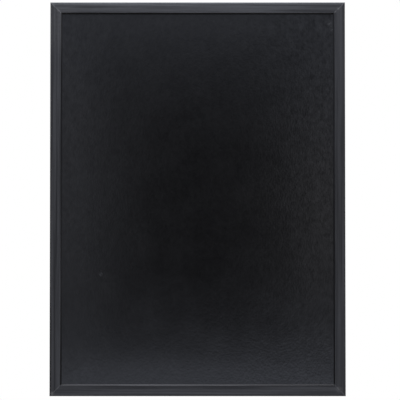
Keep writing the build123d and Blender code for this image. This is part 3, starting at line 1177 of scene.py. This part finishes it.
def makeDrivenSteel():
    nailBlank = addPiece("nail blank", prism(nailOutline(0.0), -nails["depth"], 0.0))
    vNails = setAtPlaces("v_nails", nailBlank, nailPlaces(backY - nails["sink"]), nailSteel)
    pointBlank = addPiece("point blank", prism(pointOutline(0.0), 0.0, points["thickness"]))
    bend = {
        "Bend start": points["bendStart"],
        "Bend length": points["length"] - points["driven"] + points["bendStart"],
        "Bend lift": points["tailLift"],
    }
    flats = setAtPlaces("flat_points", pointBlank, pointPlaces(backingHigh.y), pointSteel, bend=bend)
    easeEdges(vNails, nails["edge"])
    finishPiece(vNails, "corner_v_nails", "board")
    easeEdges(flats, points["edge"])
    finishPiece(flats, "panel_points", "board")
    dropPiece(nailBlank)
    dropPiece(pointBlank)


makeDrivenSteel()


# Hangers: strap, ring and screw on each stile, and the rubber bumper at its foot

rings = {
    "wire": 0.0018,
    "halfWidth": 0.0066,
    "leg": 0.004,          # from the bar to where the D's round begins
    "bend": 0.0016,        # radius of the two corners beside the bar
    "jointGap": 0.0004,    # in the middle of the bar
    "restRise": 0.00115,   # of the far side above the bar, as the ring hangs
    "arcSteps": 60,
    "step": 0.0003,
    "sides": 28,
}


def makeRingTree():
    tree, given = newTree("bent wire", {
        "Wire": "Float",
        "Sides": "Int",
        "Step": "Float",
        "Material": "Material",
    })
    path = addNode(tree, "GeometryNodeMeshToCurve", {"Mesh": given["Geometry"]})
    steps = {"Curve": path.outputs[0], "Length": given["Step"]}
    even = addNode(tree, "GeometryNodeResampleCurve", steps, mode="LENGTH")
    section = addNode(tree, "GeometryNodeCurvePrimitiveCircle", {
        "Resolution": given["Sides"],
        "Radius": times(tree, given["Wire"], 0.5),
    })
    wire = addNode(tree, "GeometryNodeCurveToMesh", {
        "Curve": even.outputs[0],
        "Profile Curve": section.outputs[0],
        "Fill Caps": True,
    })
    endTree(tree, wire.outputs[0], given["Material"])
    return tree


def ringPath(pivot):
    # along the bar from its open joint, round the D and back, in a plane that leans off the stile
    half, leg, bend = rings["halfWidth"], rings["leg"], rings["bend"]
    angles = [math.pi * k / rings["arcSteps"] for k in range(rings["arcSteps"] + 1)]
    side = [(rings["jointGap"] / 2, 0.0)]
    side += [(half - bend + bend * math.sin(a / 2), bend - bend * math.cos(a / 2)) for a in angles]
    arc = [(half * math.cos(a), leg + half * math.sin(a)) for a in angles]
    outline = side + arc + [(-x, down) for x, down in side[::-1]]
    lean = math.asin(rings["restRise"] / (leg + half))
    return [
        (pivot.x + x, pivot.y + down * math.sin(lean), pivot.z - down * math.cos(lean))
        for x, down in outline
    ]


straps = {
    "merge": 0.000001,       # loose corners nearer than this are joined
    "flatAngle": 1,          # faces that meet at fewer degrees become one
    "edge": 0.00012,
    "edgeSteps": 2,
}


def strapPiece(name, node):
    # the strap's own form, its loose triangles joined into clean faces
    shape = bmesh.new()
    shape.from_mesh(frame["nodes"][node].data)
    flat = math.radians(straps["flatAngle"])
    bmesh.ops.remove_doubles(shape, verts=shape.verts, dist=straps["merge"])
    bmesh.ops.dissolve_limit(shape, angle_limit=flat, verts=shape.verts, edges=shape.edges)
    mesh = meshFrom(name, shape)
    mesh.materials.clear()
    mesh.materials.append(strapNickel)
    return addPiece(name, mesh)


def crossedSlots(place, top, turn):
    # what is cut from a screw's head: two tapering slots crossed, and the deeper heart where they meet
    foot = top - screws["recessDepth"]
    mouth = top + screws["rim"]  # clear of the head
    cutters = []
    for quarter in (0, 1):
        slot = bmesh.new()
        bmesh.ops.create_cube(slot, size=1.0)
        for vertex in slot.verts:
            end = 1 if vertex.co.y > 0 else 0
            vertex.co = Vector((
                math.copysign(screws["recessWidth"][end] / 2, vertex.co.x),
                (foot, mouth)[end],
                math.copysign(screws["recessSlot"][end] / 2, vertex.co.z),
            ))
        spin = Matrix.Rotation(turn + quarter * math.pi / 2, 4, "Y")
        bmesh.ops.transform(slot, matrix=spin, verts=slot.verts)
        bmesh.ops.translate(slot, vec=(place.x, 0, place.z), verts=slot.verts)
        cutters.append(addPiece("slot", meshFrom("slot", slot)))
    footRadius, mouthRadius = (width / 2 for width in screws["recessHeart"])
    deeper = foot - screws["rim"]
    heart = [(0, deeper), (footRadius, deeper), (mouthRadius, mouth), (0, mouth)]
    cutters.append(turned("heart", heart, screws["heartSides"], place))
    return cutters


def screwPiece(name, low, high, turn):
    # pan head with a cross recess, threaded shank with a gimlet point
    middle = (low + high) / 2
    headRadius = (high.x - low.x) / 2
    seat = high.y - screws["headHeight"]
    edgeTop = seat + screws["headEdge"]
    dome = high.y - edgeTop
    domeRadius = (headRadius**2 + dome**2) / (2 * dome)
    shankRadius = screws["shank"] / 2
    coreRadius = screws["core"] / 2
    rim = screws["rim"]
    sides = screws["sides"]
    shape = bmesh.new()

    def ring(radiusAt, y):
        loop = []
        for k in range(sides):
            angle = 2 * math.pi * k / sides
            radius = radiusAt(angle)
            spot = (middle.x + radius * math.cos(angle), y, middle.z + radius * math.sin(angle))
            loop.append(shape.verts.new(spot))
        return loop

    loops = []
    threadEnd = seat - screws["neck"]
    count = round((threadEnd - low.y) / screws["pitch"] * screws["turnSteps"])
    for k in range(1, count + 1):
        y = low.y + (threadEnd - low.y) * k / count
        taper = min(1.0, (y - low.y) / screws["tip"])

        def threaded(angle):
            phase = (y / screws["pitch"] - angle / (2 * math.pi)) % 1.0
            crest = max(0.0, 1.0 - abs(phase - 0.5) / screws["crest"])
            crest *= min(1.0, taper * screws["tipThread"])
            return coreRadius * taper ** screws["tipCurve"] + (shankRadius - coreRadius) * crest

        loops.append(ring(threaded, y))
    neckRadius = shankRadius * screws["neckShare"]
    plain = [
        (neckRadius, threadEnd + screws["runOut"]),
        (neckRadius, seat),
        (headRadius - rim, seat),
        (headRadius, seat + rim),
        (headRadius, edgeTop - rim),
    ]
    for k in range(screws["domeSteps"]):
        radius = headRadius * math.cos(math.pi / 2 * k / screws["domeSteps"]) - (rim if k == 0 else 0)
        plain.append((radius, edgeTop + math.sqrt(domeRadius**2 - radius**2) - (domeRadius - dome)))
    for radius, y in plain:
        loops.append(ring(lambda angle: radius, y))
    tip = shape.verts.new((middle.x, low.y, middle.z))
    crown = shape.verts.new((middle.x, high.y, middle.z))
    for k in range(sides):
        j = (k + 1) % sides
        shape.faces.new((tip, loops[0][j], loops[0][k]))
        shape.faces.new((crown, loops[-1][k], loops[-1][j]))
        for lower, upper in zip(loops, loops[1:]):
            shape.faces.new((lower[k], lower[j], upper[j], upper[k]))
    bmesh.ops.recalc_face_normals(shape, faces=shape.faces)
    piece = addPiece(name, meshFrom(name, shape))
    piece.data.materials.append(screwZinc)
    for cutter in crossedSlots(middle, high.y, turn):
        cutAway(piece, cutter)
        dropPiece(cutter)
    return piece


bumpers = {
    "faceInset": 0.0007,      # the face is this much smaller than the foot, all round
    "footRound": 0.0002,
    "skirt": 0.0006,          # height of the straight foot
    "coneShares": (0.25, 0.5, 0.75, 1.0),
    "faceRound": 0.0010,
    "roundSteps": 8,
    "dish": 0.00015,
    "dishShares": (0.85, 0.6, 0.35, 0.15),
    "sides": 64,
}


def bumperPiece(name, low, high):
    # domed rubber button, slightly dished where it bears on the wall
    middle = (low + high) / 2
    base = (high.x - low.x) / 2
    face = base - bumpers["faceInset"]
    footRound, skirt, faceRound, dish = (bumpers[key] for key in ("footRound", "skirt", "faceRound", "dish"))
    coneHeight = high.y - low.y - skirt - faceRound
    flat = face - faceRound
    profile = [(0, low.y), (base - footRound, low.y), (base, low.y + footRound), (base, low.y + skirt)]
    for share in bumpers["coneShares"]:
        profile.append((base + (face - base) * share, low.y + skirt + coneHeight * share))
    for k in range(1, bumpers["roundSteps"] + 1):
        angle = math.pi / 2 * k / bumpers["roundSteps"]
        profile.append((flat + faceRound * math.cos(angle), high.y - faceRound + faceRound * math.sin(angle)))
    profile += [(flat * share, high.y - dish * (1 - share**2)) for share in bumpers["dishShares"]]
    profile.append((0, high.y - dish))
    piece = turned(name, profile, bumpers["sides"], middle)
    piece.data.materials.append(bumperRubber)
    return piece


def makeHangers():
    ringTree = makeRingTree()
    for side, screwTurn in screws["turns"].items():
        path = ringPath(pivots[f"{side}_ring"])
        mesh = bpy.data.meshes.new("ring path")
        mesh.from_pydata(path, [(k, k + 1) for k in range(len(path) - 1)], [])
        ring = addPiece(f"{side}_ring_wire", mesh)
        runTree(ring, ringTree, {
            "Wire": rings["wire"],
            "Sides": rings["sides"],
            "Step": rings["step"],
            "Material": ringNickel,
        })
        strap = strapPiece(f"{side}_strap", f"{side}_hanger_strap")
        easeEdges(strap, straps["edge"], straps["edgeSteps"])
        screw = screwPiece(f"{side}_screw", *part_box(f"{side}_hanger_screw"), screwTurn)
        bumper = bumperPiece(f"{side}_bumper", *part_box(f"{side}_wall_bumper"))
        for piece, node, body, slotName in (
            (ring, f"{side}_hanger_ring", f"{side}_ring", "ring_plating"),
            (strap, f"{side}_hanger_strap", "board", "strap_plating"),
            (screw, f"{side}_hanger_screw", "board", "screw_plating"),
            (bumper, f"{side}_wall_bumper", "board", "bumper_rubber"),
        ):
            finishPiece(piece, node, body)


makeHangers()
